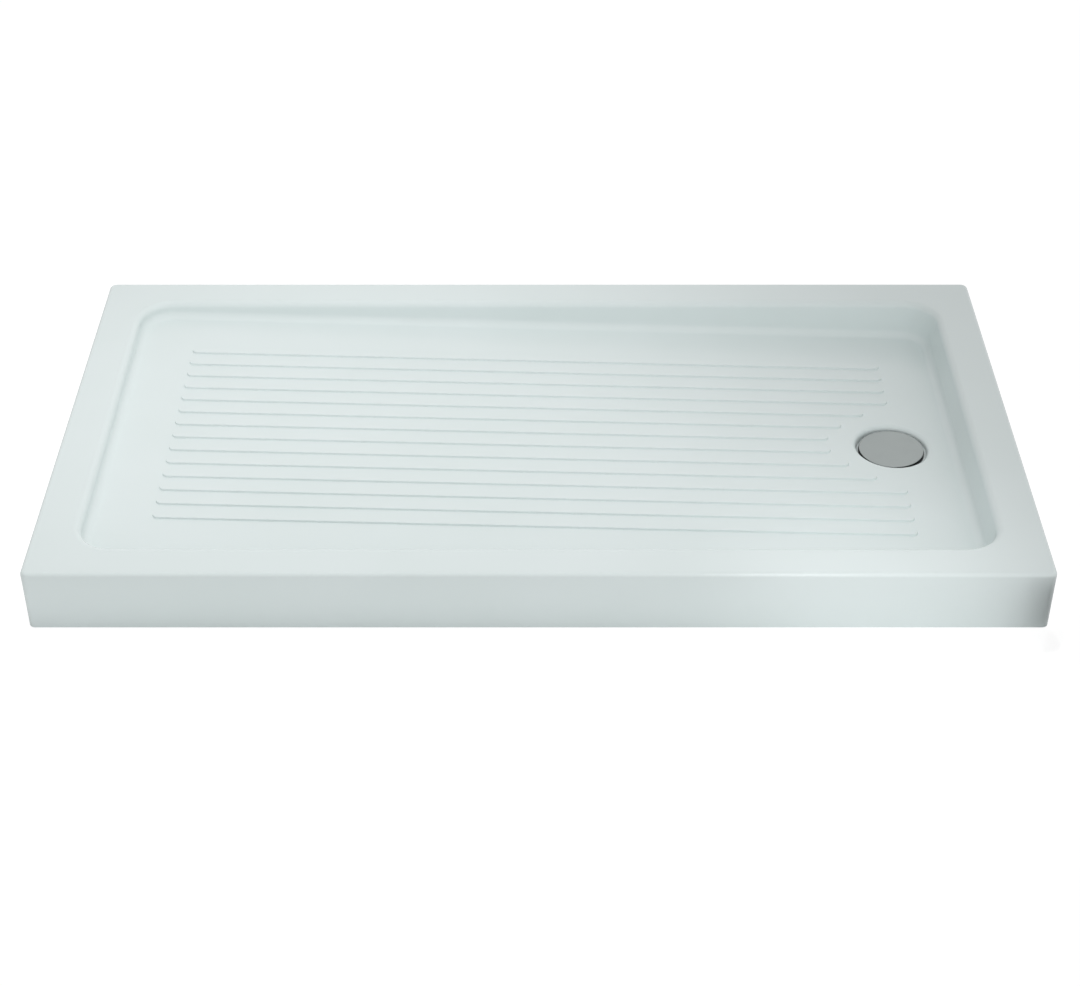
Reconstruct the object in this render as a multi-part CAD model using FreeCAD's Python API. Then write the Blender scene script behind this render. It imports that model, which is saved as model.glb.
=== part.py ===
import FreeCAD, Part
import math
import os

# Shower tray with its drain and its levelling feet, in millimetres.
# X runs along the tray towards the drain, Y from front to back and Z up.
# The origin is on the ground, under the middle of the tray.

Vector = FreeCAD.Vector

# Outside of the tray
tray_length = 1600.0
tray_width = 900.0
tray_height = 105.0
outer_corner_radius = 12.0
outer_top_fillet = 6.0
skirt_draft = 1.2  # degrees; the skirt leans in towards the ground
sheet = 5.0  # acrylic sheet
bond_gap = 0.2  # resin line between the sheet and its laminate
laminate = 3.0  # glass fibre laminate behind the sheet
laminate_hem = 6.0  # the laminate stops this far above the ground

# Recess
rim_width = 62.0  # flat deck, from the outer edge to the rounding into the recess
mouth_fillet = 12.0
wall_draft = 9.0  # degrees from upright
foot_fillet = 15.0
least_wall = 1.0  # straight wall left between its two fillets at the shallow end
recess_corner_radius = 60.0
floor_height = 59.0  # top of the floor above the ground, in the middle of the tray
floor_run = 35.0  # the floor falls 1 mm towards the drain in this length

# Raised ribs on the floor
rib_pitch = 39.1
rib_width = 19.0
rib_height = 2.5
rib_fillet = 1.5
rib_end_margin = 111.0  # from the mouth of the recess to the end of a rib
rib_side_margin = 120.0  # least distance from the mouth to the middle of the first rib
ribs_short_of_drain = (107.0, 80.0, 37.0)  # from the drain's axis, from the middle rib outwards

# Drain well in the floor
drain_inset = 193.0  # from the tray's end to the drain's axis
seat_height = 28.0  # top of the well's flat seat above the ground
well_radius = 61.5
well_draft = 5.0
well_lip_fillet = 3.0
well_seat_fillet = 2.0
waste_hole_radius = 45.0

# Chipboard base
board_thickness = 12.0
board_inset = 38.0  # from the mouth of the recess to the board's edge
board_notch_radius = 76.0  # clear way round the drain well
board_corner_radius = 20.0

# Feet
foot_end_margin = 130.0  # from the board's left end to the first pair of feet
foot_side_margin = 40.0
foot_drain_distance = 167.0  # from the last pair of feet to the drain's axis
stud_radius = 5.0
stud_reserve = 10.0  # stud above the socket at rest, and so the travel
thread_gap = 0.3
stud_tip_radius = 4.0
stud_tip_length = 5.5
stud_flats = 8.0
stud_flats_length = 4.0
socket_size = 64.0
socket_thickness = 7.0
socket_corner_radius = 8.0
socket_screw_offset = 24.0
board_stud_gap = 1.5
screw_radius = 2.0
screw_gap = 0.05
screw_length = 14.0
screw_head_radius = 4.2
screw_head_height = 2.4
nut_thickness = 5.0
nut_across_flats = 17.0
nut_seat_gap = 0.3
pad_radius = 25.0
pad_thickness = 5.0
pad_hub_radius = 9.0
pad_hub_height = 8.5
pad_shoulder_gap = 0.3
pad_edge_fillet = 1.5

# Waste fitting
flange_gasket_thickness = 1.2
flange_thickness = 2.0
flange_radius = 56.5
flange_edge_fillet = 0.8
collar_clearance = 1.0  # between the collar and the hole in the tray
collar_thickness = 3.0
collar_depth = 11.7  # below the underside of the flange
web_depth = 5.2  # underside of the flange down to the top of the web
web_thickness = 3.0
web_inner_radius = 31.0
waste_screw_circle = 36.3
waste_screw_count = 4
waste_screw_radius = 2.0
waste_screw_head_radius = 4.0
waste_screw_head_depth = 2.1
waste_screw_gap = 0.1  # round the screw in the flange
body_gasket_thickness = 2.0
body_flange_radius = 57.0
body_flange_thickness = 3.0
body_bore_gap = 1.6  # between the collar and the body, filled by a sealing ring
body_wall = 2.5
bowl_depth = 9.5  # from the top of the body's flange to the floor of the bowl
boss_radius = 4.5
boss_gap = 0.3
outlet_radius = 23.9
outlet_bore_radius = 20.5
outlet_ground_gap = 1.0
seal_ring_radius = 0.7

# Strainer and cover
seat_gap = 0.3  # under what lifts off
strainer_rim_gap = 0.6
strainer_rim_thickness = 1.5
strainer_wall = 1.5
strainer_side_gap = 0.6
strainer_floor_gap = 1.5  # between the strainer and the floor of the bowl
strainer_hole_radius = 1.75
strainer_hole_spacing = 7.9  # along a ring of holes
strainer_ring_start = 10.0
strainer_ring_pitch = 6.0
strainer_ring_count = 3
post_radius = 6.5
post_above_rim = 2.2
stem_radius = 4.0
stem_gap = 0.3
stem_end_gap = 1.0
cover_radius = 56.5
cover_height = 35.7  # top of the cover's rim above the ground
cover_thickness = 1.8
cover_crown = 1.2
cover_edge_fillet = 0.8
holder_thickness = 1.5
holder_hub_radius = 14.0
holder_arm_width = 6.0
holder_arm_count = 4
holder_reach = 53.0
holder_foot_length = 6.0

spare = 20.0  # how far a cutting shape runs past what it cuts
tolerance = 0.01  # for telling which edges lie where

# Worked out from the sizes above
fall_angle = math.degrees(math.atan(1.0 / floor_run))
fillet_setback = math.tan(math.radians((90.0 - wall_draft) / 2.0))  # of a fillet of radius 1
mouth_setback = mouth_fillet * fillet_setback
mouth_half_length = tray_length / 2.0 - rim_width - mouth_setback
mouth_half_width = tray_width / 2.0 - rim_width - mouth_setback
drain_x = tray_length / 2.0 - drain_inset
board_offset = sheet + bond_gap + laminate
board_half_length = mouth_half_length - board_inset
board_half_width = mouth_half_width - board_inset


def floor_level(x, below=0.0):
    """Height of the floor, or of a plane a set distance below it, at a place along the tray."""
    return floor_height - x / floor_run - below / math.cos(math.radians(fall_angle))


shallow_wall = (tray_height - floor_level(-mouth_half_length)) / math.cos(math.radians(wall_draft))
foot_radius = min(foot_fillet, (shallow_wall - least_wall) / fillet_setback - mouth_fillet)


def rounded_rectangle(half_x, half_y, radius, z):
    """Closed wire, centred on the Z axis."""
    diagonal = radius * math.sqrt(0.5)
    edges = []
    for turn in range(4):
        long_side, short_side = (half_x, half_y) if turn % 2 == 0 else (half_y, half_x)
        start = Vector(long_side, radius - short_side, z)
        end = Vector(long_side, short_side - radius, z)
        middle = Vector(long_side - radius + diagonal, short_side - radius + diagonal, z)
        after = Vector(long_side - radius, short_side, z)
        spin = FreeCAD.Rotation(Vector(0, 0, 1), 90.0 * turn)
        start, end, middle, after = [spin.multVec(point) for point in (start, end, middle, after)]
        edges.append(Part.LineSegment(start, end).toShape())
        edges.append(Part.Arc(end, middle, after).toShape())
    return Part.Wire(edges)


def drafted_block(half_x, half_y, radius, draft, z_reference, z_low, z_high):
    """Block whose sides lean in below z_reference, where it has the given size."""
    lean = math.tan(math.radians(draft))
    wires = []
    for z in (z_low, z_high):
        shift = (z - z_reference) * lean
        wires.append(rounded_rectangle(half_x + shift, half_y + shift, radius + shift, z))
    return Part.makeLoft(wires, True, True)


def prism(wire, height):
    return Part.Face(wire).extrude(Vector(0, 0, height))


def ring(outer_radius, inner_radius, z_low, z_high):
    """Flat ring about the Z axis."""
    height = z_high - z_low
    base = Vector(0, 0, z_low)
    disc = Part.makeCylinder(outer_radius, height, base)
    return disc.cut(Part.makeCylinder(inner_radius, height, base))


def polar(radius, count, start=0.0):
    """Points evenly spaced on a circle about the Z axis."""
    step = 2.0 * math.pi / count
    return [
        Vector(radius * math.cos(start + step * i), radius * math.sin(start + step * i), 0)
        for i in range(count)
    ]


def tilt(shape, z):
    """Turn a level shape so that it follows the fall of the floor, then lift it to z."""
    shape.rotate(Vector(0, 0, 0), Vector(0, 1, 0), fall_angle)
    shape.translate(Vector(0, 0, z))
    return shape


def sloped_slab(low, high):
    """Slab between two planes parallel to the floor, given as distances below it."""
    corner = Vector(-tray_length, -tray_width, -high)
    slab = Part.makeBox(2 * tray_length, 2 * tray_width, high - low, corner)
    return tilt(slab, floor_height)


def edges_where(shape, test):
    """Edges that pass a test at five points along them."""
    return [edge for edge in shape.Edges if all(test(point) for point in edge.discretize(5))]


def at_height(z):
    return lambda point: abs(point.z - z) < tolerance


def on_floor(offset):
    return lambda point: abs(point.z - floor_level(point.x, offset)) < tolerance


def at_mouth(z):
    """Edges of the recess at height z, and not those of the outside."""
    limit_x = tray_length / 2.0 - rim_width
    limit_y = tray_width / 2.0 - rim_width
    return lambda point: abs(point.z - z) < tolerance and abs(point.x) < limit_x and abs(point.y) < limit_y


def at_drain(shape):
    shape.translate(Vector(drain_x, 0, 0))
    return shape


# The tray

def outer_block(offset, z_low, z_high):
    """Outside of the tray, moved inwards by offset."""
    z_reference = tray_height - outer_top_fillet
    half_x = tray_length / 2.0 - offset
    half_y = tray_width / 2.0 - offset
    radius = outer_corner_radius - offset
    return drafted_block(half_x, half_y, radius, skirt_draft, z_reference, z_low, z_high)


def recess(offset):
    """Space of the recess and the drain well, grown by offset."""
    grow = offset / math.cos(math.radians(wall_draft))
    block = drafted_block(
        mouth_half_length + grow,
        mouth_half_width + grow,
        recess_corner_radius + grow,
        wall_draft,
        tray_height,
        0.0,
        tray_height + spare,
    )
    block = block.common(sloped_slab(-2 * tray_height, offset))
    block = block.makeFillet(foot_radius + offset, edges_where(block, on_floor(offset)))

    well_top = floor_level(drain_x) + spare / 2.0
    well_bottom = seat_height - offset
    well_lean = math.tan(math.radians(well_draft))
    radius = well_radius + offset / math.cos(math.radians(well_draft))
    low_radius = radius - (floor_level(drain_x) - well_bottom) * well_lean
    high_radius = radius + spare / 2.0 * well_lean
    well = Part.makeCone(low_radius, high_radius, well_top - well_bottom, Vector(0, 0, well_bottom))
    well = well.makeFillet(well_seat_fillet + offset, edges_where(well, at_height(well_bottom)))
    space = block.fuse(at_drain(well)).removeSplitter()
    if well_lip_fillet > offset:
        near = well_radius + spare
        lip = [
            edge for edge in edges_where(space, on_floor(offset))
            if math.hypot(edge.CenterOfMass.x - drain_x, edge.CenterOfMass.y) < near
        ]
        space = space.makeFillet(well_lip_fillet - offset, lip)
    return space


def hollow(offset):
    """Space under the tray, inside a skin as thick as offset."""
    z_top = tray_height - offset
    space = outer_block(offset, -spare, z_top).cut(recess(offset))
    return space.makeFillet(mouth_fillet - offset, edges_where(space, at_mouth(z_top)))


def rib(y, x_end):
    """Raised bar with round ends, lying on the sloped floor."""
    half = rib_width / 2.0
    x_start = rib_end_margin - mouth_half_length
    straight = x_end - x_start - rib_width
    bar = Part.makeBox(straight, rib_width, 2 * rib_height, Vector(x_start + half, -half, -rib_height))
    for x in (x_start + half, x_end - half):
        bar = bar.fuse(Part.makeCylinder(half, 2 * rib_height, Vector(x, 0, -rib_height)))
    bar = bar.removeSplitter()
    bar = bar.makeFillet(rib_fillet, edges_where(bar, at_height(rib_height)))
    bar.translate(Vector(0, y, 0))
    return tilt(bar, floor_height)


def ribs():
    """All the ribs; those in line with the drain stop short of it."""
    count = int((2 * mouth_half_width - 2 * rib_side_margin) / rib_pitch) + 1
    bars = []
    for i in range(count):
        y = (i - (count - 1) / 2.0) * rib_pitch
        from_middle = int(abs(y) / rib_pitch)
        x_end = mouth_half_length - rib_end_margin
        if from_middle < len(ribs_short_of_drain):
            x_end = drain_x - ribs_short_of_drain[from_middle]
        bars.append(rib(y, x_end))
    return bars


def tray_shell():
    block = outer_block(0.0, 0.0, tray_height)
    block = block.makeFillet(outer_top_fillet, edges_where(block, at_height(tray_height)))
    shell = block.cut(recess(0.0))
    shell = shell.makeFillet(mouth_fillet, edges_where(shell, at_mouth(tray_height)))
    shell = shell.cut(hollow(sheet))
    shell = shell.fuse(ribs())
    waste_hole = Part.makeCylinder(waste_hole_radius, 2 * sheet, Vector(0, 0, seat_height - 1.5 * sheet))
    return shell.cut(at_drain(waste_hole))


def fibreglass_backing():
    """Laminate that stiffens the sheet from below, trimmed clear of the waste fitting."""
    start = sheet + bond_gap
    skin = hollow(start).cut(hollow(start + laminate))
    above_ground = Part.makeBox(
        tray_length, tray_width, tray_height, Vector(-tray_length / 2, -tray_width / 2, laminate_hem)
    )
    skin = skin.common(above_ground)
    trimming = Part.makeCylinder(body_flange_radius + board_stud_gap, seat_height)
    return skin.cut(at_drain(trimming))


# The feet and their board

def foot_places():
    """Name and place of each foot."""
    left = foot_end_margin - board_half_length
    right = drain_x - foot_drain_distance
    columns = (("left", left), ("middle", (left + right) / 2.0), ("right", right))
    y = board_half_width - foot_side_margin
    return [
        (row + "_" + column, x, row_y)
        for column, x in columns
        for row, row_y in (("front", -y), ("back", y))
    ]


def board_underside(x):
    return floor_level(x, board_offset + board_thickness)


def socket_screw_places():
    offset = socket_screw_offset
    return [Vector(x, y, 0) for x in (-offset, offset) for y in (-offset, offset)]


def base_board():
    """Chipboard bonded under the floor, with a notch round the drain and holes for the feet."""
    outline = rounded_rectangle(board_half_length, board_half_width, board_corner_radius, 0.0)
    board = prism(outline, tray_height).common(sloped_slab(board_offset, board_offset + board_thickness))
    radius = board_notch_radius
    notch = Part.makeCylinder(radius, tray_height)
    notch = notch.fuse(Part.makeBox(drain_inset, 2 * radius, tray_height, Vector(0, -radius, 0)))
    board = board.cut(at_drain(notch))
    holes = []
    screw_depth = screw_length - socket_thickness + screw_gap
    for name, x, y in foot_places():
        start = Vector(x, y, board_underside(x) - spare)
        through = Part.makeCylinder(stud_radius + board_stud_gap, 2 * spare + board_thickness, start)
        holes.append(through)
        for place in socket_screw_places():
            holes.append(Part.makeCylinder(screw_radius + screw_gap, spare + screw_depth, start + place))
    return board.cut(holes)


def foot_socket(x, y):
    """Plate with the thread, screwed under the board; its top follows the board, its underside is level."""
    z_low = board_underside(x) - socket_thickness
    outline = rounded_rectangle(socket_size / 2.0, socket_size / 2.0, socket_corner_radius, z_low)
    plate = prism(outline, socket_thickness + spare)
    plate.translate(Vector(x, y, 0))
    plate = plate.common(sloped_slab(board_offset + board_thickness, 2 * tray_height))
    start = Vector(x, y, z_low - spare)
    depth = socket_thickness + 2 * spare
    holes = [Part.makeCylinder(stud_radius + thread_gap, depth, start)]
    for place in socket_screw_places():
        holes.append(Part.makeCylinder(screw_radius + screw_gap, depth, start + place))
    return plate.cut(holes)


def foot_socket_screws():
    """Wood screws of all the sockets."""
    screws = []
    for name, x, y in foot_places():
        z = board_underside(x) - socket_thickness
        head_low = z - screw_head_height
        for place in socket_screw_places():
            head = Part.makeCylinder(screw_head_radius, screw_head_height, Vector(x, y, head_low) + place)
            head = head.makeFillet(screw_head_height / 2.0, edges_where(head, at_height(head_low)))
            shank = Part.makeCylinder(screw_radius, screw_length, Vector(x, y, z) + place)
            screws.append(head.fuse(shank).removeSplitter())
    return Part.makeCompound(screws)


def hexagon(across_flats, z_low, height):
    corner_radius = across_flats / math.sqrt(3.0)
    points = [point + Vector(0, 0, z_low) for point in polar(corner_radius, 6)]
    return prism(Part.makePolygon(points + points[:1]), height)


def foot_lock_nuts():
    """One thin nut under each socket."""
    nuts = []
    for name, x, y in foot_places():
        z_low = board_underside(x) - socket_thickness - nut_seat_gap - nut_thickness
        nut = hexagon(nut_across_flats, z_low, nut_thickness)
        nut = nut.cut(Part.makeCylinder(stud_radius + thread_gap, nut_thickness, Vector(0, 0, z_low)))
        nut.translate(Vector(x, y, 0))
        nuts.append(nut)
    return Part.makeCompound(nuts)


def foot_stud(x, y):
    """Threaded rod with spanner flats; its tip turns in the pad."""
    z_shoulder = pad_hub_height + pad_shoulder_gap
    z_top = board_underside(x) + stud_reserve
    rod = Part.makeCylinder(stud_radius, z_top - z_shoulder, Vector(0, 0, z_shoulder))
    rod = rod.makeChamfer(stud_radius / 5.0, edges_where(rod, at_height(z_top)))
    for side in (-1, 1):
        low_y = stud_flats / 2.0 if side > 0 else -stud_flats / 2.0 - stud_radius
        corner = Vector(-stud_radius, low_y, z_shoulder)
        rod = rod.cut(Part.makeBox(2 * stud_radius, stud_radius, stud_flats_length, corner))
    tip = Part.makeCylinder(stud_tip_radius, stud_tip_length, Vector(0, 0, z_shoulder - stud_tip_length))
    stud = rod.fuse(tip)
    stud.translate(Vector(x, y, 0))
    return stud


def foot_pad(x, y):
    """Disc that stands on the ground, with a hub for the stud's tip."""
    disc = Part.makeCylinder(pad_radius, pad_thickness)
    disc = disc.makeFillet(pad_edge_fillet, edges_where(disc, at_height(pad_thickness)))
    pad = disc.fuse(Part.makeCylinder(pad_hub_radius, pad_hub_height))
    depth = stud_tip_length - pad_shoulder_gap + thread_gap
    bore = Part.makeCylinder(stud_tip_radius + thread_gap, depth, Vector(0, 0, pad_hub_height - depth))
    pad = pad.cut(bore)
    pad.translate(Vector(x, y, 0))
    return pad


# The waste fitting, each piece made about the Z axis and then moved to the drain

flange_low = seat_height + flange_gasket_thickness
flange_high = flange_low + flange_thickness
collar_radius = waste_hole_radius - collar_clearance
collar_inner_radius = collar_radius - collar_thickness
web_high = flange_low - web_depth
web_low = web_high - web_thickness
body_high = seat_height - sheet - body_gasket_thickness
bowl_floor = body_high - bowl_depth
bowl_radius = collar_radius + body_bore_gap
collar_low = flange_low - collar_depth


def flange_gasket():
    return at_drain(ring(flange_radius, waste_hole_radius, seat_height, flange_low))


def waste_flange():
    """Ring on the seat, collar through the hole and a web that takes the screws."""
    plate = Part.makeCylinder(flange_radius, flange_thickness, Vector(0, 0, flange_low))
    plate = plate.makeFillet(flange_edge_fillet, edges_where(plate, at_height(flange_high)))
    collar = Part.makeCylinder(collar_radius, flange_high - collar_low, Vector(0, 0, collar_low))
    flange = plate.fuse(collar).removeSplitter()
    above_web = Part.makeCylinder(collar_inner_radius, flange_high - web_high, Vector(0, 0, web_high))
    below_web = Part.makeCylinder(collar_inner_radius, web_low - collar_low, Vector(0, 0, collar_low))
    bore = Part.makeCylinder(web_inner_radius, web_thickness, Vector(0, 0, web_low))
    flange = flange.cut([above_web, below_web, bore])
    holes = []
    for place in polar(waste_screw_circle, waste_screw_count, math.pi / 4.0):
        radius = waste_screw_radius + waste_screw_gap
        holes.append(Part.makeCylinder(radius, web_thickness, place + Vector(0, 0, web_low)))
        start = place + Vector(0, 0, web_high - waste_screw_head_depth)
        head_radius = waste_screw_head_radius + waste_screw_gap
        holes.append(Part.makeCone(radius, head_radius, waste_screw_head_depth, start))
    return at_drain(flange.cut(holes))


def body_gasket():
    gasket_high = body_high + body_gasket_thickness
    return at_drain(ring(body_flange_radius, waste_hole_radius, body_high, gasket_high))


def waste_body():
    """Shallow bowl under the tray with a threaded outlet straight down."""
    body_low = body_high - body_flange_thickness
    body = ring(body_flange_radius, bowl_radius, body_low, body_high)
    under = bowl_floor - body_wall
    bowl = Part.makeCylinder(bowl_radius + body_wall, body_high - under, Vector(0, 0, under))
    bowl = bowl.cut(Part.makeCylinder(bowl_radius, bowl_depth, Vector(0, 0, bowl_floor)))
    outlet = Part.makeCylinder(outlet_radius, under - outlet_ground_gap, Vector(0, 0, outlet_ground_gap))
    body = body.fuse([bowl, outlet])
    boss_top = web_low - boss_gap
    for place in polar(waste_screw_circle, waste_screw_count, math.pi / 4.0):
        base = place + Vector(0, 0, bowl_floor)
        body = body.fuse(Part.makeCylinder(boss_radius, boss_top - bowl_floor, base))
        hole = Part.makeCylinder(waste_screw_radius + screw_gap, boss_top - bowl_floor, base)
        body = body.cut(hole)
    body = body.cut(Part.makeCylinder(outlet_bore_radius, bowl_floor, Vector(0, 0, 0)))
    return at_drain(body.removeSplitter())


def waste_screws():
    screws = []
    for place in polar(waste_screw_circle, waste_screw_count, math.pi / 4.0):
        low = bowl_floor + screw_gap
        shank = Part.makeCylinder(waste_screw_radius, web_high - low, place + Vector(0, 0, low))
        start = place + Vector(0, 0, web_high - waste_screw_head_depth)
        head = Part.makeCone(waste_screw_radius, waste_screw_head_radius, waste_screw_head_depth, start)
        screws.append(at_drain(shank.fuse(head).removeSplitter()))
    return Part.makeCompound(screws)


def collar_seal():
    """Round sealing ring between the collar and the bowl."""
    middle = collar_radius + body_bore_gap / 2.0
    z = (body_high + collar_low) / 2.0
    return at_drain(Part.makeTorus(middle, seal_ring_radius, Vector(0, 0, z)))


strainer_low = bowl_floor + strainer_floor_gap
rim_low = web_high + seat_gap
rim_high = rim_low + strainer_rim_thickness
post_high = rim_high + post_above_rim
post_bore_low = strainer_low + strainer_wall + stem_end_gap


def hair_strainer():
    """Cup with a perforated floor, a rim that rests on the web and a post for the cover's stem."""
    cup_radius = web_inner_radius - strainer_side_gap
    cup = Part.makeCylinder(cup_radius, rim_high - strainer_low, Vector(0, 0, strainer_low))
    rim_radius = collar_inner_radius - strainer_rim_gap
    rim = Part.makeCylinder(rim_radius, strainer_rim_thickness, Vector(0, 0, rim_low))
    inside_low = strainer_low + strainer_wall
    inside = Part.makeCylinder(cup_radius - strainer_wall, rim_high - inside_low, Vector(0, 0, inside_low))
    strainer = cup.fuse(rim).cut(inside)
    holes = []
    for i in range(int(strainer_ring_count)):
        circle = strainer_ring_start + i * strainer_ring_pitch
        for place in polar(circle, round(2.0 * math.pi * circle / strainer_hole_spacing)):
            base = place + Vector(0, 0, strainer_low)
            holes.append(Part.makeCylinder(strainer_hole_radius, strainer_wall, base))
    post = Part.makeCylinder(post_radius, post_high - strainer_low, Vector(0, 0, strainer_low))
    bore = Part.makeCylinder(stem_radius + stem_gap, post_high - post_bore_low, Vector(0, 0, post_bore_low))
    return at_drain(strainer.cut(holes).fuse(post).cut(bore).removeSplitter())


def crown_radius():
    """Radius of the sphere that the crown of the cover follows."""
    return (cover_radius ** 2 + cover_crown ** 2) / (2 * cover_crown)


def crown_height(radius):
    """Height of the cover's top at a distance from its axis."""
    sphere = crown_radius()
    return cover_height + cover_crown - sphere + math.sqrt(sphere ** 2 - radius ** 2)


def drain_cover():
    """Slightly crowned plate of even thickness, turned from its half section."""
    half_way = cover_radius / 2.0
    top = [Vector(radius, 0, crown_height(radius)) for radius in (0.0, half_way, cover_radius)]
    under = [point - Vector(0, 0, cover_thickness) for point in top]
    section = Part.Wire([
        Part.Arc(top[0], top[1], top[2]).toShape(),
        Part.LineSegment(top[2], under[2]).toShape(),
        Part.Arc(under[2], under[1], under[0]).toShape(),
        Part.LineSegment(under[0], top[0]).toShape(),
    ])
    cover = Part.Face(section).revolve(Vector(0, 0, 0), Vector(0, 0, 1), 360)
    rim = [
        edge for edge in cover.Edges
        if edge.BoundBox.XMax > cover_radius - tolerance and edge.BoundBox.ZLength < tolerance
    ]
    return at_drain(cover.makeFillet(cover_edge_fillet, rim))


def cover_holder():
    """Spider under the cover: arms that stand on the flange and a stem that guides the cover."""
    foot_low = flange_high + seat_gap
    arm_high = crown_height(holder_reach) - cover_thickness
    arm_low = arm_high - holder_thickness
    holder = Part.makeCylinder(holder_hub_radius, arm_high - arm_low, Vector(0, 0, arm_low))
    half = holder_arm_width / 2.0
    for i in range(holder_arm_count):
        arm = Part.makeBox(holder_reach, holder_arm_width, holder_thickness, Vector(0, -half, arm_low))
        corner = Vector(holder_reach - holder_foot_length, -half, foot_low)
        arm = arm.fuse(Part.makeBox(holder_foot_length, holder_arm_width, arm_low - foot_low, corner))
        arm.rotate(Vector(0, 0, 0), Vector(0, 0, 1), 360.0 * i / holder_arm_count)
        holder = holder.fuse(arm)
    stem_low = post_bore_low + stem_end_gap
    holder = holder.fuse(Part.makeCylinder(stem_radius, arm_low - stem_low, Vector(0, 0, stem_low)))
    return at_drain(holder.removeSplitter())


pieces = {
    "tray_shell": tray_shell(),
    "fibreglass_backing": fibreglass_backing(),
    "base_board": base_board(),
    "foot_socket_screws": foot_socket_screws(),
    "foot_lock_nuts": foot_lock_nuts(),
    "flange_gasket": flange_gasket(),
    "waste_flange": waste_flange(),
    "body_gasket": body_gasket(),
    "waste_body": waste_body(),
    "waste_screws": waste_screws(),
    "collar_seal": collar_seal(),
    "hair_strainer": hair_strainer(),
    "drain_cover": drain_cover(),
    "cover_holder": cover_holder(),
}
for name, x, y in foot_places():
    pieces["foot_socket_" + name] = foot_socket(x, y)
    pieces["foot_stud_" + name] = foot_stud(x, y)
    pieces["foot_pad_" + name] = foot_pad(x, y)

os.makedirs("parts", exist_ok=True)
for name, shape in pieces.items():
    shape.exportStep("parts/" + name + ".step")
    box = shape.BoundBox
    print(
        "%-28s %2d solids %9.1f cm3  x %.1f %.1f  y %.1f %.1f  z %.1f %.1f %s"
        % (
            name,
            len(shape.Solids),
            shape.Volume / 1000.0,
            box.XMin,
            box.XMax,
            box.YMin,
            box.YMax,
            box.ZMin,
            box.ZMax,
            "" if shape.isValid() else "INVALID",
        )
    )
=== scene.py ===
import math

import bmesh
import bpy
from mathutils import Matrix, Vector


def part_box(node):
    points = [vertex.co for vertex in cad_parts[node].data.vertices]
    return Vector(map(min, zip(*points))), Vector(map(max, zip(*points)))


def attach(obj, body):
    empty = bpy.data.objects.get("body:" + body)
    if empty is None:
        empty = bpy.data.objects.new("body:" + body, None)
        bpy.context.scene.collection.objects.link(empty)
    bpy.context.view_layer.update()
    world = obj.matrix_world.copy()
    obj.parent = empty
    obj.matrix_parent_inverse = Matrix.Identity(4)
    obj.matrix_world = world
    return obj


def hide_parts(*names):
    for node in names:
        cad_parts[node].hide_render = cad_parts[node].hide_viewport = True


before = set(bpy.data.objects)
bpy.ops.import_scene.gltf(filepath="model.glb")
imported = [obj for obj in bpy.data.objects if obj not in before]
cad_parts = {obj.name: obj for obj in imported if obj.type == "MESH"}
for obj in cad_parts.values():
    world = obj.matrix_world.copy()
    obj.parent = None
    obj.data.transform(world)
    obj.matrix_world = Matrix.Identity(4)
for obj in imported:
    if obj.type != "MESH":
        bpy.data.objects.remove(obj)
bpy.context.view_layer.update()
print("frame loaded:", len(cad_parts), "nodes")


def inMetres(sizes):
    return {name: value / 1000 for name, value in sizes.items()}


def tangentOf(degrees):
    return math.tan(math.radians(degrees))


# Tray. The drain's place and the seat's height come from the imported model, the rest is in millimetres.
tray = inMetres({
    "length": 1600,
    "width": 900,
    "height": 105,
    "sheet": 5,
    "outerCorner": 12,
    "topRounding": 6,
    "hemRounding": 0.6,
    "deck": 62,  # flat, up to the rounding of the mouth
    "mouthRounding": 12,
    "footRounding": 15,
    "recessCorner": 60,
    "floorMiddle": 59,  # height of the floor at half length
    "wellRadius": 61.5,
    "lipRounding": 9,
    "seatRounding": 2,
    "wasteHole": 45,
    "hold": 1.2,  # flat strip kept beside each rounding
})
skirtLean = tangentOf(1.2)
wallDraft = 9  # degrees from upright
wellDraft = 5
floorFall = 1 / 35

coverLow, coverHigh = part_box("drain_cover")
drainX = (coverLow.x + coverHigh.x) / 2
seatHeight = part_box("flange_gasket")[0].z
mouthSetback = tray["mouthRounding"] * tangentOf((90 - wallDraft) / 2)


def floorHeight(x):
    return tray["floorMiddle"] - x * floorFall


# Meshes

weldDistance = 1e-7
outlineSteps = {"length": 32, "width": 18, "corner": 10}


def roundedProfile(points, radii, steps):
    # an open outline in two dimensions with its inner corners rounded and a flat strip beside each rounding
    made = [Vector(points[0])]
    for before, corner, after, radius in zip(points, points[1:], points[2:], radii):
        corner = Vector(corner)
        toBefore = (Vector(before) - corner).normalized()
        toAfter = (Vector(after) - corner).normalized()
        halfAngle = toBefore.angle(toAfter) / 2
        reach = radius / math.tan(halfAngle)
        middle = (toBefore + toAfter).normalized()
        centre = corner + middle * radius / math.sin(halfAngle)
        start = corner + toBefore * reach - centre
        end = corner + toAfter * reach - centre
        hold = min(tray["hold"], radius)
        made.append(corner + toBefore * (reach + hold))
        for step in range(steps + 1):
            made.append(centre + start.slerp(end, step / steps) * radius)
        made.append(corner + toAfter * (reach + hold))
    made.append(Vector(points[-1]))
    return made


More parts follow.
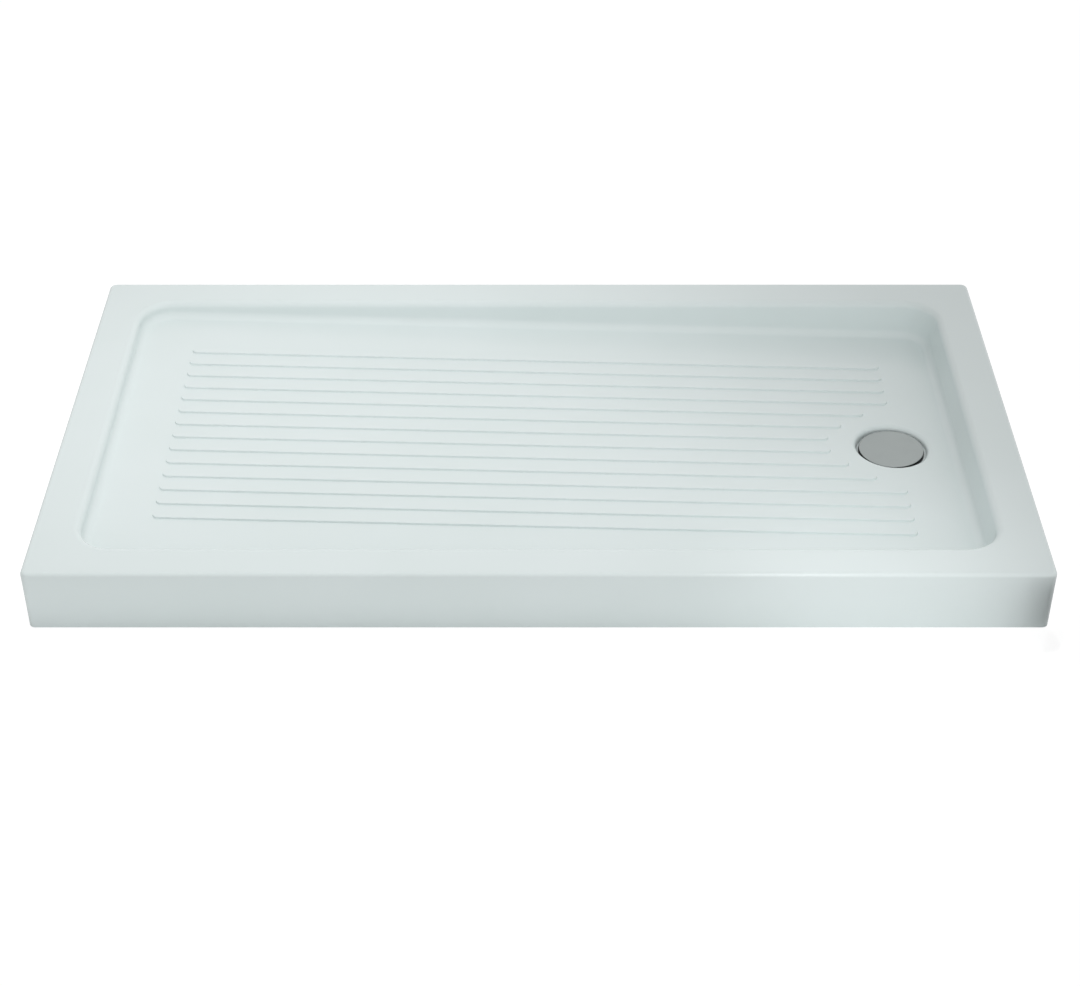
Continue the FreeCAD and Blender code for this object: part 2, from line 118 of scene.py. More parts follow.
def planOutline(halfX, halfY, radius):
    # points of a rounded rectangle with their outward directions, anticlockwise from the lower right corner
    outline = []
    corners = [(1, -1, -90), (1, 1, 0), (-1, 1, 90), (-1, -1, 180)]
    for signX, signY, startAngle in corners:
        centre = Vector((signX * (halfX - radius), signY * (halfY - radius)))
        for step in range(outlineSteps["corner"] + 1):
            angle = math.radians(startAngle + 90 * step / outlineSteps["corner"])
            outward = Vector((math.cos(angle), math.sin(angle)))
            outline.append((centre + outward * radius, outward))
        last, outward = outline[-1]
        upright = signX * signY < 0
        pieces = outlineSteps["width" if upright else "length"]
        length = 2 * ((halfY if upright else halfX) - radius)
        along = Vector((-outward.y, outward.x))
        for step in range(1, pieces):
            outline.append((last + along * length * step / pieces, outward))
    return outline


def addRing(mesh, points):
    return [mesh.verts.new(point) for point in points]


def joinRings(mesh, rings):
    for lower, upper in zip(rings, rings[1:]):
        for index in range(len(lower)):
            following = (index + 1) % len(lower)
            corners = [lower[index], lower[following], upper[following], upper[index]]
            mesh.faces.new(corners)


def turned(mesh, profile, centreX, centreY, segments):
    # a turned solid from its half section, a list of (radius, height) that starts and ends on the axis
    turns = [2 * math.pi * index / segments for index in range(segments)]
    rings = [addRing(mesh, [
        (centreX + radius * math.cos(turn), centreY + radius * math.sin(turn), height) for turn in turns])
        for radius, height in profile[1:-1]]
    joinRings(mesh, rings)
    for (_, height), ring in ((profile[0], rings[0]), (profile[-1], rings[-1])):
        pole = mesh.verts.new((centreX, centreY, height))
        for index in range(segments):
            mesh.faces.new([pole, ring[index], ring[(index + 1) % segments]])


def objectFrom(name, mesh, material):
    # one object in the scene from a working mesh, which is freed
    data = bpy.data.meshes.new(name)
    mesh.to_mesh(data)
    mesh.free()
    data.materials.append(material)
    made = bpy.data.objects.new(name, data)
    bpy.context.scene.collection.objects.link(made)
    return made


def finishPiece(name, mesh, material, body, replaced, sharpAngle=None):
    # a visible piece, with its normals outwards, smooth but for edges sharper than sharpAngle in degrees
    bmesh.ops.remove_doubles(mesh, verts=mesh.verts, dist=weldDistance)
    bmesh.ops.recalc_face_normals(mesh, faces=mesh.faces)
    for face in mesh.faces:
        face.smooth = True
    if sharpAngle:
        for edge in mesh.edges:
            if len(edge.link_faces) == 2 and edge.calc_face_angle() > math.radians(sharpAngle):
                edge.smooth = False
    piece = objectFrom(name, mesh, material)
    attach(piece, body)
    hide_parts(*replaced)
    print("piece", name, len(piece.data.polygons), "faces")


# Materials

def linearColour(hexText):
    # "#rrggbb" in sRGB to linear light
    values = []
    for start in (1, 3, 5):
        part = int(hexText[start:start + 2], 16) / 255
        values.append(part / 12.92 if part <= 0.04045 else ((part + 0.055) / 1.055) ** 2.4)
    return (*values, 1.0)


def addNode(tree, kind, inputs=None, **settings):
    # one node with its settings; a socket or node given as input is linked, a "#rrggbb" text is a colour
    node = tree.nodes.new(kind)
    for name, value in settings.items():
        setattr(node, name, value)
    for name, value in (inputs or {}).items():
        if isinstance(value, bpy.types.Node):
            value = next(output for output in value.outputs if output.enabled)
        if isinstance(value, bpy.types.NodeSocket):
            tree.links.new(value, node.inputs[name])
            continue
        if isinstance(value, str) and value.startswith("#"):
            value = linearColour(value)
        node.inputs[name].default_value = value
    return node


def newMaterial(name):
    material = bpy.data.materials.new(name)
    material.use_nodes = True
    tree = material.node_tree
    tree.nodes.clear()
    return material, tree, addNode(tree, "ShaderNodeTexCoord").outputs["Object"]


def perMetre(millimetres):
    # texture scale for features of this size
    return 1000 / millimetres


def acrylicSheet():
    # Cast acrylic (PMMA) sheet, vacuum formed: an even, deep gloss with long soft waves where the sheet
    # was drawn, a faint orange peel and a little wiping haze
    material, tree, where = newMaterial("acrylicSheetVacuumFormed")
    waves = addNode(tree, "ShaderNodeTexNoise", {"Vector": where, "Scale": perMetre(140), "Detail": 1.0})
    peel = addNode(tree, "ShaderNodeTexNoise", {"Vector": where, "Scale": perMetre(6), "Detail": 2.0})
    haze = addNode(tree, "ShaderNodeTexNoise", {"Vector": where, "Scale": perMetre(90), "Detail": 5.0})
    tone = addNode(tree, "ShaderNodeMix", {0: waves, 6: "#e2eceb", 7: "#e6efef"}, data_type="RGBA")
    gloss = addNode(tree, "ShaderNodeMapRange", {
        "Value": haze, "From Min": 0.3, "From Max": 0.7, "To Min": 0.16, "To Max": 0.24})
    drawn = addNode(tree, "ShaderNodeBump", {"Height": waves, "Strength": 0.15, "Distance": 0.0004})
    surface = addNode(tree, "ShaderNodeBump", {
        "Height": peel, "Strength": 0.1, "Distance": 0.00002, "Normal": drawn})
    shader = addNode(tree, "ShaderNodeBsdfPrincipled", {
        "Base Color": tone, "Roughness": gloss, "Normal": surface, "IOR": 1.49})
    addNode(tree, "ShaderNodeOutputMaterial", {"Surface": shader})
    return material


def glassLaminate():
    # Polyester resin with chopped glass strand, sprayed and rolled: cloudy amber white, with strands at
    # all angles, rough to the hand. Strands are drawn 1.5 mm wide, coarser than the real ones, to show.
    material, tree, where = newMaterial("glassStrandLaminateRolled")
    cloud = addNode(tree, "ShaderNodeTexNoise", {"Vector": where, "Scale": perMetre(35), "Detail": 4.0})
    strands = 0.0
    for turn in (12, 71, 128):
        laidOver = addNode(tree, "ShaderNodeMapping", {
            "Vector": where, "Rotation": (0.35, 0.2, math.radians(turn)),
            "Scale": (perMetre(28), perMetre(1.5), perMetre(1.5))})
        layer = addNode(tree, "ShaderNodeTexNoise", {
            "Vector": laidOver, "Scale": 1.0, "Detail": 1.0, "Distortion": 0.4})
        strands = addNode(tree, "ShaderNodeMath", {0: strands, 1: layer}, operation="MAXIMUM")
    share = addNode(tree, "ShaderNodeMapRange", {"Value": strands, "From Min": 0.5, "From Max": 0.75})
    resin = addNode(tree, "ShaderNodeMix", {0: cloud, 6: "#b9b08a", 7: "#d3cdb0"}, data_type="RGBA")
    tone = addNode(tree, "ShaderNodeMix", {0: share, 6: resin, 7: "#e4e2d4"}, data_type="RGBA")
    relief = addNode(tree, "ShaderNodeBump", {"Height": strands, "Strength": 0.8, "Distance": 0.0012})
    shader = addNode(tree, "ShaderNodeBsdfPrincipled", {
        "Base Color": tone, "Normal": relief, "IOR": 1.55, "Roughness": 0.42})
    addNode(tree, "ShaderNodeOutputMaterial", {"Surface": shader})
    return material


def chipboard():
    # Resin-bonded wood chips, pressed and sawn: matt tan flakes of 3 to 8 mm, some dark and some pale
    material, tree, where = newMaterial("chipboardPressedRaw")
    stretched = addNode(tree, "ShaderNodeMapping", {"Vector": where, "Scale": (1.0, 1.6, 2.4)})
    chips = addNode(tree, "ShaderNodeTexVoronoi", {
        "Vector": stretched, "Scale": perMetre(5), "Randomness": 1.0}).outputs["Color"]
    chip = addNode(tree, "ShaderNodeSeparateColor", {"Color": chips})
    fibres = addNode(tree, "ShaderNodeTexNoise", {"Vector": where, "Scale": perMetre(1.2), "Detail": 3.0})
    wood = addNode(tree, "ShaderNodeMix", {0: chip, 6: "#9c7a4e", 7: "#cfb184"}, data_type="RGBA")
    tone = addNode(tree, "ShaderNodeMix", {0: fibres, 6: wood, 7: "#b9986a"}, data_type="RGBA")
    height = addNode(tree, "ShaderNodeMath", {0: chip, 1: fibres}, operation="ADD")
    relief = addNode(tree, "ShaderNodeBump", {"Height": height, "Strength": 0.5, "Distance": 0.0004})
    shader = addNode(tree, "ShaderNodeBsdfPrincipled", {
        "Base Color": tone, "Normal": relief, "Roughness": 0.82})
    addNode(tree, "ShaderNodeOutputMaterial", {"Surface": shader})
    return material


def moulded(name, pale, dark, roughness, sparkMm, relief=0.00006):
    # an injection-moulded plastic with a spark-eroded mould texture and a slight drift of tone
    material, tree, where = newMaterial(name)
    drift = addNode(tree, "ShaderNodeTexNoise", {"Vector": where, "Scale": perMetre(30), "Detail": 2.0})
    grain = addNode(tree, "ShaderNodeTexNoise", {
        "Vector": where, "Scale": perMetre(sparkMm), "Detail": 4.0})
    tone = addNode(tree, "ShaderNodeMix", {0: drift, 6: dark, 7: pale}, data_type="RGBA")
    bump = addNode(tree, "ShaderNodeBump", {"Height": grain, "Strength": 0.6, "Distance": relief})
    shader = addNode(tree, "ShaderNodeBsdfPrincipled", {
        "Base Color": tone, "Normal": bump, "Roughness": roughness, "IOR": 1.5})
    addNode(tree, "ShaderNodeOutputMaterial", {"Surface": shader})
    return material


def zincPlate():
    # Bright zinc electroplate with a clear passivate on cold-formed steel: bluish silver with faint
    # straw-coloured patches and fine drawing marks
    material, tree, where = newMaterial("steelZincPlated")
    patches = addNode(tree, "ShaderNodeTexNoise", {"Vector": where, "Scale": perMetre(9), "Detail": 3.0})
    marks = addNode(tree, "ShaderNodeTexNoise", {"Vector": where, "Scale": perMetre(0.8), "Detail": 4.0})
    tone = addNode(tree, "ShaderNodeMix", {0: patches, 6: "#aab0b8", 7: "#b9b6a6"}, data_type="RGBA")
    spread = addNode(tree, "ShaderNodeMapRange", {
        "Value": marks, "From Min": 0.3, "From Max": 0.7, "To Min": 0.26, "To Max": 0.42})
    shader = addNode(tree, "ShaderNodeBsdfPrincipled", {
        "Base Color": tone, "Roughness": spread, "Metallic": 1.0})
    addNode(tree, "ShaderNodeOutputMaterial", {"Surface": shader})
    return material


def turnedMetal(name, darkTone, paleTone, roughness, ringMm):
    # metal turned and then brushed in rings about the drain's axis
    material, tree, where = newMaterial(name)
    centred = addNode(tree, "ShaderNodeMapping", {"Vector": where, "Location": (-drainX, 0.0, 0.0)})
    axes = addNode(tree, "ShaderNodeSeparateXYZ", {"Vector": centred}).outputs
    flat = addNode(tree, "ShaderNodeCombineXYZ", {"X": axes["X"], "Y": axes["Y"]})
    distance = addNode(tree, "ShaderNodeVectorMath", {0: flat}, operation="LENGTH").outputs["Value"]
    angle = addNode(tree, "ShaderNodeMath", {0: axes["Y"], 1: axes["X"]}, operation="ARCTAN2")
    ring = addNode(tree, "ShaderNodeMath", {0: distance, 1: perMetre(ringMm)}, operation="MULTIPLY")
    rolled = addNode(tree, "ShaderNodeCombineXYZ", {"X": ring, "Y": angle})
    lines = addNode(tree, "ShaderNodeTexNoise", {"Vector": rolled, "Scale": 1.0, "Detail": 3.0})
    smudges = addNode(tree, "ShaderNodeTexNoise", {"Vector": where, "Scale": perMetre(40), "Detail": 3.0})
    tone = addNode(tree, "ShaderNodeMix", {0: smudges, 6: darkTone, 7: paleTone}, data_type="RGBA")
    spread = addNode(tree, "ShaderNodeMapRange", {
        "Value": lines, "From Min": 0.3, "From Max": 0.7,
        "To Min": roughness - 0.05, "To Max": roughness + 0.07})
    relief = addNode(tree, "ShaderNodeBump", {"Height": lines, "Strength": 0.3, "Distance": 0.00002})
    shader = addNode(tree, "ShaderNodeBsdfPrincipled", {
        "Base Color": tone, "Roughness": spread, "Normal": relief, "Metallic": 1.0})
    addNode(tree, "ShaderNodeOutputMaterial", {"Surface": shader})
    return material


acrylic = acrylicSheet()
laminate = glassLaminate()
woodChips = chipboard()
zinc = zincPlate()
satinChrome = turnedMetal("brassSatinChromed", "#9da3a2", "#a5abaa", 0.38, 0.5)
stainless = turnedMetal("stainlessSteelTurned", "#b8b8b4", "#c2c2be", 0.3, 0.4)
sealRubber = moulded("rubberEpdmMoulded", "#2a2a2b", "#1f1f20", 0.6, 0.8)
wastePlastic = moulded("polypropyleneWhiteMoulded", "#e6e8e6", "#dcdfdd", 0.38, 0.9)
# painted shade: the waste flange is moulded white polypropylene, but it is drawn black so that the gap under
# the drain cover shows as dark as its shade
flangeBlackPaintedShade = moulded("polypropyleneBlackPaintedGapShade", "#2c2d2d", "#222323", 0.4, 0.9)
strainerPlastic = moulded("absGreyMoulded", "#9aa0a2", "#8d9395", 0.42, 0.7)
footPlastic = moulded("nylonGlassFilledMoulded", "#2c2d2f", "#232426", 0.55, 0.6, 0.0001)
print("materials made")


# Ribs: one Geometry Nodes tree makes them all from a point for each, which carries that rib's length

ribs = inMetres({
    "pitch": 39.1,
    "width": 19,
    "height": 3.4,
    "flank": 1.2,  # run of the steep side
    "startMargin": 103,  # from the mouth's left side to the ribs
    "endMargin": 111,  # from the ribs to the mouth's right side
    "sideMargin": 120,  # least distance from the mouth to the middle of the first rib
})
ribsShortOfDrain = [0.107, 0.080, 0.037]  # metres to the drain's axis, from the middle ribs outwards
flankSteps = 7
ribEndSteps = 12
ribWeldDistance = 0.00001


def ribShape():
    # a rib 1 wide and 1 high with round ends and no straight run; its far half is marked, to be drawn out
    mesh = bmesh.new()
    farMark = mesh.verts.layers.float.new("farEnd")
    strip = tray["hold"] / ribs["width"]
    flank = ribs["flank"] / ribs["width"]
    section = [(0.5 + strip, 0.0)]
    for step in range(flankSteps + 1):
        up = step / flankSteps
        section.append((0.5 - flank * up, up * up * (3 - 2 * up)))
    section += [(0.5 - flank - strip, 1.0), (0.0, 1.0)]
    rings = []
    for radius, height in section:
        ring = []
        for farEnd in (1, 0):
            for step in range(ribEndSteps + 1):
                angle = math.pi * (step / ribEndSteps + 0.5 - farEnd)
                vertex = mesh.verts.new((radius * math.cos(angle), radius * math.sin(angle), height))
                vertex[farMark] = farEnd
                ring.append(vertex)
        rings.append(ring)
    joinRings(mesh, rings)
    data = bpy.data.meshes.new("ribShape")
    mesh.to_mesh(data)
    mesh.free()
    return bpy.data.objects.new("ribShape", data)


def ribTree():
    tree = bpy.data.node_groups.new("ribsOnSlopedFloor", "GeometryNodeTree")
    sockets = {"Geometry": "Geometry", "Rib": "Object", "Width": "Float", "Height": "Float",
               "Floor Middle": "Float", "Floor Fall": "Float", "Material": "Material"}
    for name, kind in sockets.items():
        tree.interface.new_socket(name, in_out="INPUT", socket_type="NodeSocket" + kind)
    tree.interface.new_socket("Geometry", in_out="OUTPUT", socket_type="NodeSocketGeometry")
    source = addNode(tree, "NodeGroupInput").outputs
    rib = addNode(tree, "GeometryNodeObjectInfo", {"Object": source["Rib"]})
    size = addNode(tree, "ShaderNodeCombineXYZ", {
        "X": source["Width"], "Y": source["Width"], "Z": source["Height"]})
    placed = addNode(tree, "GeometryNodeInstanceOnPoints", {
        "Points": source["Geometry"], "Instance": rib.outputs["Geometry"], "Scale": size})
    real = addNode(tree, "GeometryNodeRealizeInstances", {"Geometry": placed})

    # draw each rib out to its own length
    length = addNode(tree, "GeometryNodeInputNamedAttribute", {"Name": "ribLength"}, data_type="FLOAT")
    farEnd = addNode(tree, "GeometryNodeInputNamedAttribute", {"Name": "farEnd"}, data_type="FLOAT")
    run = addNode(tree, "ShaderNodeMath", {0: length, 1: farEnd}, operation="MULTIPLY")
    drawnOut = addNode(tree, "GeometryNodeSetPosition", {
        "Geometry": real, "Offset": addNode(tree, "ShaderNodeCombineXYZ", {"X": run})})

    # lay them on the sloped floor
    here = addNode(tree, "ShaderNodeSeparateXYZ", {"Vector": addNode(tree, "GeometryNodeInputPosition")})
    fall = addNode(tree, "ShaderNodeMath", {0: here, 1: source["Floor Fall"]}, operation="MULTIPLY")
    level = addNode(tree, "ShaderNodeMath", {0: source["Floor Middle"], 1: fall}, operation="SUBTRACT")
    laid = addNode(tree, "GeometryNodeSetPosition", {
        "Geometry": drawnOut, "Offset": addNode(tree, "ShaderNodeCombineXYZ", {"Z": level})})
    welded = addNode(tree, "GeometryNodeMergeByDistance", {"Geometry": laid, "Distance": ribWeldDistance})
    painted = addNode(tree, "GeometryNodeSetMaterial", {"Geometry": welded, "Material": source["Material"]})
    addNode(tree, "NodeGroupOutput", {"Geometry": painted})
    return tree


def plainMesh(name, points, tree, values):
    # runs a tree on a mesh of points and returns the result as a plain mesh
    data = bpy.data.meshes.new(name)
    data.from_pydata([place for place, _ in points], [], [])
    for attribute in sorted({key for _, extra in points for key in extra}):
        stored = data.attributes.new(attribute, "FLOAT", "POINT")
        stored.data.foreach_set("value", [extra[attribute] for _, extra in points])
    holder = bpy.data.objects.new(name, data)
    bpy.context.scene.collection.objects.link(holder)
    modifier = holder.modifiers.new(name, "NODES")
    modifier.node_group = tree
    for socket in tree.interface.items_tree:
        if socket.in_out == "INPUT" and socket.name in values:
            modifier[socket.identifier] = values[socket.name]
    made = bpy.data.meshes.new_from_object(holder.evaluated_get(bpy.context.evaluated_depsgraph_get()))
    holder.modifiers.clear()
    bpy.data.objects.remove(holder)
    return made


mouthHalfX = tray["length"] / 2 - tray["deck"] - mouthSetback
mouthHalfY = tray["width"] / 2 - tray["deck"] - mouthSetback


def ribMesh():
    count = int((2 * mouthHalfY - 2 * ribs["sideMargin"]) / ribs["pitch"]) + 1
    points = []
    for index in range(count):
        y = (index - (count - 1) / 2) * ribs["pitch"]
        fromMiddle = int(abs(y) / ribs["pitch"])
        start = ribs["startMargin"] - mouthHalfX
        end = mouthHalfX - ribs["endMargin"]
        if fromMiddle < len(ribsShortOfDrain):
            end = drainX - ribsShortOfDrain[fromMiddle]
        points.append(((start + ribs["width"] / 2, y, 0), {"ribLength": end - start - ribs["width"]}))
    shape = ribShape()
    made = plainMesh("ribPlaces", points, ribTree(), {
        "Rib": shape,
        "Width": ribs["width"],
        "Height": ribs["height"],
        "Floor Middle": tray["floorMiddle"],
        "Floor Fall": floorFall,
        "Material": acrylic,
    })
    bpy.data.objects.remove(shape)
    return made


# Tray surface: sections across the sheet, set side by side round the tray

roundingSteps = {"edge": 8, "recess": 10, "well": 6}
wellSegments = 96
hemBow = 0.3  # of the hem's rounding, from its corner to its middle
sharpTrayAngle = 40  # degrees


def outsideRings(mesh, offset, rounding):
    # apron and top edge, moved inwards by offset; the last ring lies on the deck
    height = tray["height"] - offset
    side = -offset / math.cos(math.atan(skirtLean))
    reference = tray["height"] - tray["topRounding"]  # where the tray has its full length and width
    deckEnd = -offset - 1.2 * rounding - 2 * tray["hold"]  # past the rounding and its flat strip
    start = (side - reference * skirtLean, 0)
    corner = (side + (height - reference) * skirtLean, height)
    profile = roundedProfile([start, corner, (deckEnd, height)], [rounding], roundingSteps["edge"])
    if offset == 0:
        hem = tray["hemRounding"]
        bow = hem * hemBow
        profile = [Vector((start[0] - hem, 0)), Vector((start[0] - bow, bow)),
                   Vector((start[0], hem))] + profile[1:]
    outline = planOutline(tray["length"] / 2, tray["width"] / 2, tray["outerCorner"])
    rings = []
    for along, height in profile:
        rings.append(addRing(mesh, [
            (*(place + outward * along), height) for place, outward in outline]))
    return rings


def recessRings(mesh, offset):
    # mouth, wall and foot of the recess; the first ring lies on the deck and the last on the sloped floor
    lean = tangentOf(wallDraft)
    growth = offset / math.cos(math.radians(wallDraft))
    deckHeight = tray["height"] - offset
    fallLength = math.sqrt(1 + floorFall ** 2)
    outline = planOutline(mouthHalfX, mouthHalfY, tray["recessCorner"])
    sections = []
    for place, outward in outline:
        # inward distance and height: deck, wall and floor are straight lines in this section
        slope = outward.x * floorFall
        floorStart = floorHeight(place.x) - offset * fallLength
        corner = -growth + lean * offset
        footDistance = (-growth + (tray["height"] - floorStart) * lean) / (1 + slope * lean)
        footHeight = floorStart + slope * footDistance
        run = footDistance + tray["footRounding"] + offset + 3 * tray["hold"]
        profile = roundedProfile(
            [(corner - tray["deck"] / 3, deckHeight), (corner, deckHeight), (footDistance, footHeight),
             (run, floorStart + slope * run)],
            [tray["mouthRounding"] - offset, tray["footRounding"] + offset], roundingSteps["recess"])
        sections.append([(*(place - outward * inward), height) for inward, height in profile])
    return [addRing(mesh, [section[level] for section in sections]) for level in range(len(sections[0]))]


def wellRings(mesh, offset, innerRadius, segments):
    # drain well: floor, lip, wall and seat, down to the edge of its hole
    lean = tangentOf(wellDraft)
    radius = tray["wellRadius"] + offset / math.cos(math.radians(wellDraft))
    top = floorHeight(drainX)
    fallLength = math.sqrt(1 + floorFall ** 2)
    seat = seatHeight - offset
    sections = []
    for index in range(segments):
        angle = 2 * math.pi * index / segments
        outward = Vector((math.cos(angle), math.sin(angle)))
        slope = -outward.x * floorFall
        floorStart = top - offset * fallLength
        lipRadius = (radius + (floorStart - top) * lean) / (1 - slope * lean)
        footRadius = radius - (top - seat) * lean
        outer = lipRadius + tray["lipRounding"] + 3 * tray["hold"]
        lip = max(tray["lipRounding"] - offset, tray["hemRounding"])
        profile = roundedProfile(
            [(outer, floorStart + slope * outer), (lipRadius, floorStart + slope * lipRadius),
             (footRadius, seat), (innerRadius, seat)],
            [lip, tray["seatRounding"] + offset], roundingSteps["well"])
        centre = Vector((drainX, 0))
        sections.append([(*(centre + outward * along), height) for along, height in profile])
    return [addRing(mesh, [section[level] for section in sections]) for level in range(len(sections[0]))]


def ringEdges(mesh, ring):
    return [mesh.edges.get((ring[index], ring[(index + 1) % len(ring)])) for index in range(len(ring))]


def sheetFace(mesh, offset, rounding, ribEdges):
    # one face of the moulded sheet, from its hem to the hole for the waste, with the floor filled up to the
    # edges given; returns its two end rings
    outside = outsideRings(mesh, offset, rounding)
    recess = recessRings(mesh, offset)
    well = wellRings(mesh, offset, tray["wasteHole"], wellSegments)
    joinRings(mesh, outside + recess)
    joinRings(mesh, well)
    edges = ringEdges(mesh, recess[-1]) + ringEdges(mesh, well[0]) + ribEdges
    bmesh.ops.triangle_fill(mesh, edges=edges, use_beauty=True, use_dissolve=False)
    return outside[0], well[-1]


def traySurface():
    mesh = bmesh.new()
    mesh.from_mesh(ribMesh())
    ribEdges = [edge for edge in mesh.edges if len(edge.link_faces) == 1]
    hem, hole = sheetFace(mesh, 0, tray["topRounding"], ribEdges)
    innerHem, innerHole = sheetFace(mesh, tray["sheet"], tray["topRounding"] - tray["sheet"], [])
    joinRings(mesh, [hem, innerHem])
    joinRings(mesh, [hole, innerHole])
    finishPiece("tray_moulding", mesh, acrylic, "root", ["tray_shell"], sharpTrayAngle)


traySurface()


# Drain cover: a crowned disc with a rolled rim

cover = inMetres({
    "crown": 1.2,
    "thickness": 1.8,
    "rimRounding": 0.85,
    "inset": 1.2,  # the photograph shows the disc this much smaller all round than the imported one
})
coverRings = 12  # from its middle to its rim
coverSegments = 128
rimSteps = 12


def drainCap():
    radius = (coverHigh.x - coverLow.x) / 2 - cover["inset"]
    sphere = (radius ** 2 + cover["crown"] ** 2) / (2 * cover["crown"])
    rounding = cover["rimRounding"]
    top = []
    for step in range(coverRings + 1):
        along = (radius - rounding) * step / coverRings
        top.append((along, coverHigh.z - sphere + math.sqrt(sphere ** 2 - along ** 2)))
    rimHeight = top[-1][1] - rounding
    rim = []
    for step in range(1, rimSteps):
        angle = math.pi * (0.5 - step / rimSteps)
        rim.append((radius - rounding + rounding * math.cos(angle), rimHeight + rounding * math.sin(angle)))
    under = [(along, height - cover["thickness"]) for along, height in reversed(top)]
    mesh = bmesh.new()
    turned(mesh, top + rim + under, drainX, 0, coverSegments)
    finishPiece("drain_cap", mesh, satinChrome, "cover", ["drain_cover"])


drainCap()


# Foot studs: a rolled thread above the spanner flats, and a plain tip that turns in the pad

studSizes = inMetres({
    "threadPitch": 1.5,
    "threadDepth": 0.9,
    "tipRadius": 4,
    "tipLength": 5.5,
    "tipChamfer": 0.5,
    "acrossFlats": 8,
    "flatsLength": 4,
    "endChamfer": 1,
})
studSteps = 24  # points round a stud
ringsPerTurn = 6
leastFacing = 0.1  # keeps the division for the flats away from zero
sharpStudAngle = 30


def footStud(place):
    low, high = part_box("foot_stud_" + place)
    centre = (low + high) / 2
    radius = (high.x - low.x) / 2
    pitch = studSizes["threadPitch"]
    shoulder = low.z + studSizes["tipLength"]
    threadStart = shoulder + studSizes["flatsLength"]
    angles = [2 * math.pi * index / studSteps for index in range(studSteps)]
    tip = [studSizes["tipRadius"]] * studSteps
    pointed = [studSizes["tipRadius"] - studSizes["tipChamfer"]] * studSteps
    flats = []
    for angle in angles:
        facing = max(abs(math.sin(angle)), leastFacing)
        flats.append(min(radius, studSizes["acrossFlats"] / 2 / facing))
    sections = [(low.z, pointed), (low.z + studSizes["tipChamfer"], tip), (shoulder, tip), (shoulder, flats),
                (threadStart, flats), (threadStart, [radius] * studSteps)]
    ringCount = round((high.z - threadStart) / pitch * ringsPerTurn)
    for ring in range(1, ringCount + 1):
        height = threadStart + (high.z - threadStart) * ring / ringCount
        grown = min(1, (height - threadStart) / pitch)  # the thread runs out over its first turn
        crest = radius - max(0, studSizes["endChamfer"] - (high.z - height))
        radii = []
        for angle in angles:
            turn = ((height - threadStart) / pitch - angle / (2 * math.pi)) % 1
            radii.append(min(crest, radius - grown * studSizes["threadDepth"] * abs(2 * turn - 1)))
        sections.append((height, radii))
    mesh = bmesh.new()
    rings = [addRing(mesh, [
        (centre.x + along * math.cos(angle), centre.y + along * math.sin(angle), height)
        for along, angle in zip(radii, angles)]) for height, radii in sections]
    joinRings(mesh, rings)
    mesh.faces.new(rings[0])
    mesh.faces.new(rings[-1])
    finishPiece("threaded_stud_" + place, mesh, zinc, "stud_" + place,
                ["foot_stud_" + place], sharpStudAngle)


for nodeName in sorted(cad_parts):
    if nodeName.startswith("foot_stud_"):
        footStud(nodeName[len("foot_stud_"):])


# Camera, worked out from the tray's outline in the photograph

camera = {
    "place": (0.0, -3.152, 2.1609),
    "down": 35.14,  # degrees below the horizon
    "focal": 2207 / 1080,  # of the picture's width
    "sensor": 36.0,  # millimetres
    "shift": 1.3 / 1080,
}


def makeCamera():
    data = bpy.data.cameras.new("camera")
    data.sensor_width = camera["sensor"]
    data.lens = camera["focal"] * camera["sensor"]
    data.shift_x = camera["shift"]
    holder = bpy.data.objects.new("camera", data)
    holder.location = camera["place"]
    holder.rotation_euler = (math.radians(90 - camera["down"]), 0, 0)
    bpy.context.scene.collection.objects.link(holder)
    bpy.context.scene.camera = holder


# Studio: a pale floor, a soft surround that is dimmest on the left, three soft spots and a black card

studio = {
    "floor": "#f4f5f5",
    "floorSeen": "#7c7d7d",  # the camera sees a darker paper, lifted to white, so shadows stay pale
    "floorRadius": 14,
    "floorSides": 64,
    "floorLevel": -0.0003,  # just under the tray
    "floorLift": 0.9,
    "surround": 0.21,
    "panels": [((0, -1, 0.3), 0.83), ((0, 1, 0.3), 0.66), ((1, 0, 0.3), 0.36)],  # direction and strength
    "flagHeights": (0.004, 0.1),
    "cornerFlag": [(0.806, -0.456), (0.812, -0.49), (0.802, -0.508), (0.778, -0.513)],
    "key": {"place": (-0.5, 0.2, 2.4), "aim": (-0.4, -0.1, 0), "cone": 62, "size": 0.3, "watts": 77,
            "mirrored": False},
    "edge": {"place": (0.5, -1.2, 1.6), "aim": (0.45, -0.45, 0.05), "cone": 40, "size": 0.25, "watts": 11,
             "mirrored": True},
    "corner": {"place": (0.5, -1.3, 1.3), "aim": (0.54, -0.45, 0.09), "cone": 23, "size": 0.12, "watts": 18,
               "mirrored": True},
}


